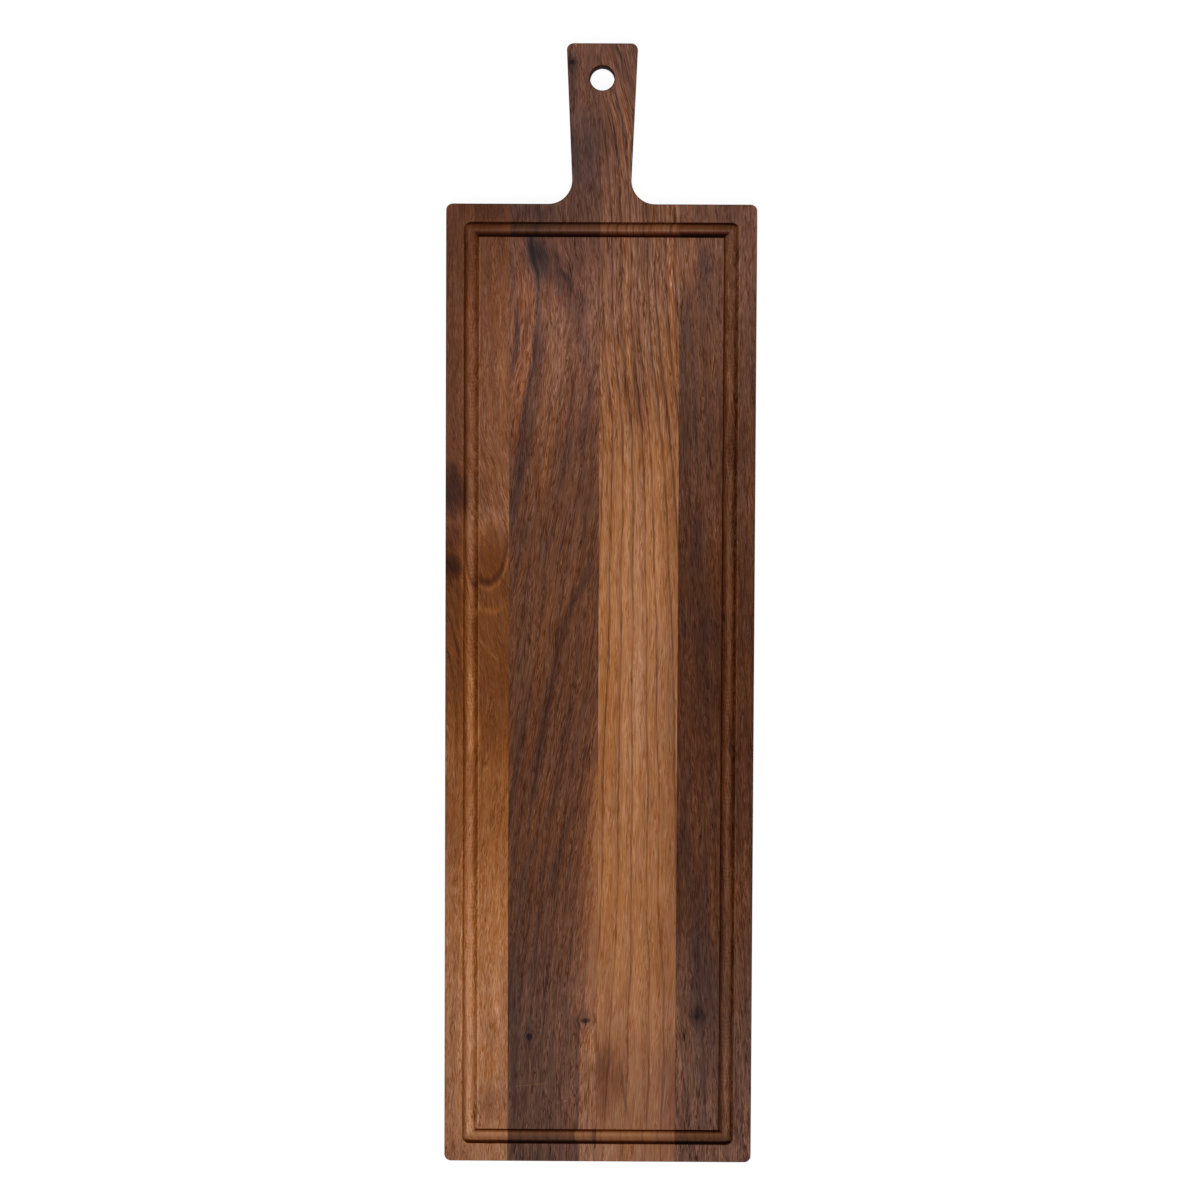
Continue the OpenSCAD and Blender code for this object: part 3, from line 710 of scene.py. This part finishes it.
def walnutFinish(stave):
    t = finishTree(stave["node"] + "_walnut")
    seed = stave["seed"] * 37.0
    x, y, z = t.split(t.vector("SCALE", t.add("TexCoord", {}, "Object"), scale=1000.0))
    facing = [t.calc("ABSOLUTE", part) for part in t.split(t.add("TexCoord", {}, "Normal"))]

    # The figure runs on through the wood. Fibres run along y, and sway, lean and part round the knots.
    depth = t.less(walnut["slabTop"], z)
    figureX, figureY = (t.calc("MULTIPLY_ADD", depth, slant, part)
                        for slant, part in zip(walnut["depthDrift"], (x, y)))
    sway = t.pattern("sway", figureX, figureY, seed)
    wave = t.pattern("wave", figureX, figureY, seed)
    across = t.less(figureX, t.curve(figureY, stave["lean"]))
    across = t.plus(across, t.times(sway, walnut["sway"]), t.times(wave, stave["wave"]))
    knots = [knotSigns(t, knot, t.join(figureX, figureY), wave) for knot in stave.get("knots", [])]
    for aside, halo, core in knots:
        across = t.less(across, t.times(aside, halo, marks["parting"]))
    density = t.pattern("density", across, figureY, seed)

    tones = woodTones(t, stave, (x, y, z), figureX, figureY, wave, knots, seed)
    shade = t.less(tones["shade"], growthLines(t, stave, across, figureY, density, seed))
    layers = fibreLayers(t, stave, across, figureY, density, seed)
    drifts = t.split(t.pattern("drift", across, figureY, seed, out=1))
    shadeDrift, coolDrift, redDrift = (t.times(part, by) for part, by in zip(drifts, walnut["drift"]))
    grainDepth = t.times(t.curve(figureY, stave["grainDepth"]), tones["grain"])
    thin = t.plus(layers["fibres"], layers["dark"], layers["light"])
    coarse = t.times(t.plus(layers["bands"], layers["streaks"], shadeDrift), grainDepth)
    fine = t.times(t.plus(thin, t.times(layers["pores"], walnut["poreDepth"])), grainDepth)

    # Painted sheen makes light hairs greyer, and the groove floor's painted highlight; the burnished end legs are
    # greyer too
    cut = grooveMarks(t, stave, x, y, z, seed)
    cool = t.plus(tones["cool"], coolDrift, t.times(shade, fine, cut["smear"], walnut["paintedGlint"]),
                  t.times(cut["burnishAndPaintedShine"], groove["paintedGlint"]), t.times(cut["onEnd"], stave.get("endCool", 0.0)))
    shade = t.times(shade, t.calc("MULTIPLY_ADD", t.plus(coarse, fine), cut["smear"], 1.0))
    # the groove's painted highlight and painted light on the lips, with the ripples, come on here
    shade = t.times(t.plus(shade, cut["light"]), endGrainShade(t, stave, x, y, z, facing[1], wave))
    tone = woodColour(t, shade, cool, t.plus(tones["red"], redDrift))
    # The groove walls darken with burns and painted shade
    tone = t.vector("MULTIPLY", tone, t.join(*(t.calc("POWER", part, cut["burnAndShade"]) for part in groove["burntAndShaded"])))
    tone = t.tint(cut["chips"], tone, groove["chipTint"])

    # The eased edges are darker, painted shade where they turn from the light and the oil they took up. The hole's
    # bore gets painted shade and a drill burn
    rim = t.times(t.fade(facing[2], *walnut["rimFaces"]), t.fade(cut["off"], *walnut["rimPast"]))
    hole = t.vector("LENGTH", t.vector("SUBTRACT", t.join(x, y), walnut["hole"]))
    hole = t.times(t.fade(hole, *walnut["holeEdge"]), rim)
    tone = t.tint(hole, t.tint(rim, tone, walnut["rimShadeTint"]), walnut["holeShadeTint"])

    raised = (thin, layers["pores"], cut["chips"])
    height = t.plus(*(t.times(part, by) for part, by in zip(raised, walnut["relief"])))
    rougher = (layers["pores"], layers["streaks"], cut["burnAndShade"], hole)
    rough = t.plus(*(t.times(part, by) for part, by in zip(rougher, walnut["rougher"])), walnut["roughness"])
    shader = t.add("BsdfPrincipled", {
        "Base Color": tone,
        "Roughness": rough,
        "Specular IOR Level": walnut["sheen"],
        "Normal": t.add("Bump", {"Strength": 0.5, "Distance": 0.001, "Height": height}),
    })
    t.add("OutputMaterial", {"Surface": shader})
    return t.finish


for stave in (leftStave, leftCentreStave, rightCentreStave, rightStave):
    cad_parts[stave["node"]].material_slots[0].material = walnutFinish(stave)
    print("walnut on", stave["node"])


glue = {
    "nodes": ("left_glue_line", "centre_glue_line", "right_glue_line"),
    "dark": (40, 22, 14),
    "light": (78, 48, 32),
    "stretch": (0.5, 0.08, 0.5),    # how finely the noise runs in x, y and z
    "roughness": 0.5,
    "sheen": 0.3,
}


def glueFinish():
    t = finishTree("dried_wood_glue")
    place = t.vector("SCALE", t.add("TexCoord", {}, "Object"), scale=1000.0)
    drift = t.noise(t.vector("MULTIPLY", place, glue["stretch"]), 2.0)
    tone = t.ramp(t.calc("MULTIPLY_ADD", drift, 0.2, 0.5), [(0.0, glue["dark"]), (1.0, glue["light"])])
    shader = t.add("BsdfPrincipled", {
        "Base Color": tone,
        "Roughness": t.calc("MULTIPLY_ADD", drift, 0.05, glue["roughness"]),
        "Specular IOR Level": glue["sheen"],
        "Normal": t.add("Bump", {"Strength": 0.3, "Distance": 0.001, "Height": t.times(drift, 0.02)}),
    })
    t.add("OutputMaterial", {"Surface": shader})
    return t.finish


driedGlue = glueFinish()
for name in glue["nodes"]:
    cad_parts[name].material_slots[0].material = driedGlue
print("glue lines finished")


studio = {  # in metres, watts and degrees
    "tableReach": 6.0,
    "tableHeight": -0.0005,
    "tableColour": (0.8, 0.8, 0.8, 1),      # what the board sees of it
    "tableShown": (0.14, 0.14, 0.14, 1),    # what the camera sees, which takes the shadow
    "tableGlow": 0.92,
    "roomLight": 0.22,
    "keyLight": {"place": (0, -0.75, 2.3), "size": 1.2, "power": 36},
    "headLight": {"place": (0, 0.95, 2.3), "size": 0.8, "power": 12},
    "camera": {"lens": 93.3, "place": (0.0145, 0.10867, 1.98985), "turn": (-3.0125, 0.4338, 0.2607)},
}


def seenRay(tree):  # 1 for the rays that show the white background itself
    rays = tree.nodes.new("ShaderNodeLightPath")
    either = rays.outputs["Is Camera Ray"]
    for kind in ("Is Glossy Ray", "Is Transmission Ray"):
        more = tree.nodes.new("ShaderNodeMath")
        more.operation = "MAXIMUM"
        tree.links.new(either, more.inputs[0])
        tree.links.new(rays.outputs[kind], more.inputs[1])
        either = more.outputs[0]
    return either


def whiteTable():
    s, h = studio["tableReach"], studio["tableHeight"]
    mesh = bpy.data.meshes.new("whiteTable")
    mesh.from_pydata([(-s, -s, h), (s, -s, h), (s, s, h), (-s, s, h)], [], [(0, 1, 2, 3)])
    top = bpy.data.objects.new("whiteTable", mesh)
    bpy.context.scene.collection.objects.link(top)
    t = finishTree("whiteTableTop")
    matt = t.add("BsdfDiffuse", {"Color": studio["tableColour"]})
    faint = t.add("BsdfDiffuse", {"Color": studio["tableShown"]})
    glow = t.add("Emission", {"Color": (1, 1, 1, 1), "Strength": studio["tableGlow"]})
    shown = t.add("AddShader", {0: faint, 1: glow})
    t.add("OutputMaterial", {"Surface": t.add("MixShader", {0: seenRay(t.tree), 1: matt, 2: shown})})
    mesh.materials.append(t.finish)


def softRoom():
    room = bpy.data.worlds.new("softRoom")
    room.use_nodes = True
    tree = room.node_tree
    tree.nodes.clear()
    light, white = (tree.nodes.new("ShaderNodeBackground") for side in range(2))
    light.inputs["Color"].default_value = white.inputs["Color"].default_value = (1, 1, 1, 1)
    light.inputs["Strength"].default_value = studio["roomLight"]
    either = tree.nodes.new("ShaderNodeMixShader")
    out = tree.nodes.new("ShaderNodeOutputWorld")
    rays = tree.nodes.new("ShaderNodeLightPath")
    tree.links.new(rays.outputs["Is Camera Ray"], either.inputs[0])
    tree.links.new(light.outputs[0], either.inputs[1])
    tree.links.new(white.outputs[0], either.inputs[2])
    tree.links.new(either.outputs[0], out.inputs[0])
    bpy.context.scene.world = room


def softbox(name, shown):
    lamp = bpy.data.lights.new(name, "AREA")
    lamp.shape = "SQUARE"
    lamp.size = studio[name]["size"]
    lamp.energy = studio[name]["power"]
    box = bpy.data.objects.new(name, lamp)
    bpy.context.scene.collection.objects.link(box)
    box.location = studio[name]["place"]
    box.rotation_euler = (-Vector(studio[name]["place"])).to_track_quat("-Z", "Y").to_euler()
    box.visible_glossy = shown


whiteTable()
softRoom()
softbox("keyLight", False)   # a polarising sheet on this one keeps its glare off the oiled wood
softbox("headLight", True)

camera = bpy.data.objects.new("camera", bpy.data.cameras.new("camera"))
camera.data.sensor_width = 36.0
camera.data.lens = studio["camera"]["lens"]
camera.location = studio["camera"]["place"]
camera.rotation_euler = [math.radians(turn) for turn in studio["camera"]["turn"]]
bpy.context.scene.collection.objects.link(camera)
bpy.context.scene.camera = camera
bpy.context.scene.view_settings.view_transform = "Standard"
print("table, light and camera set")
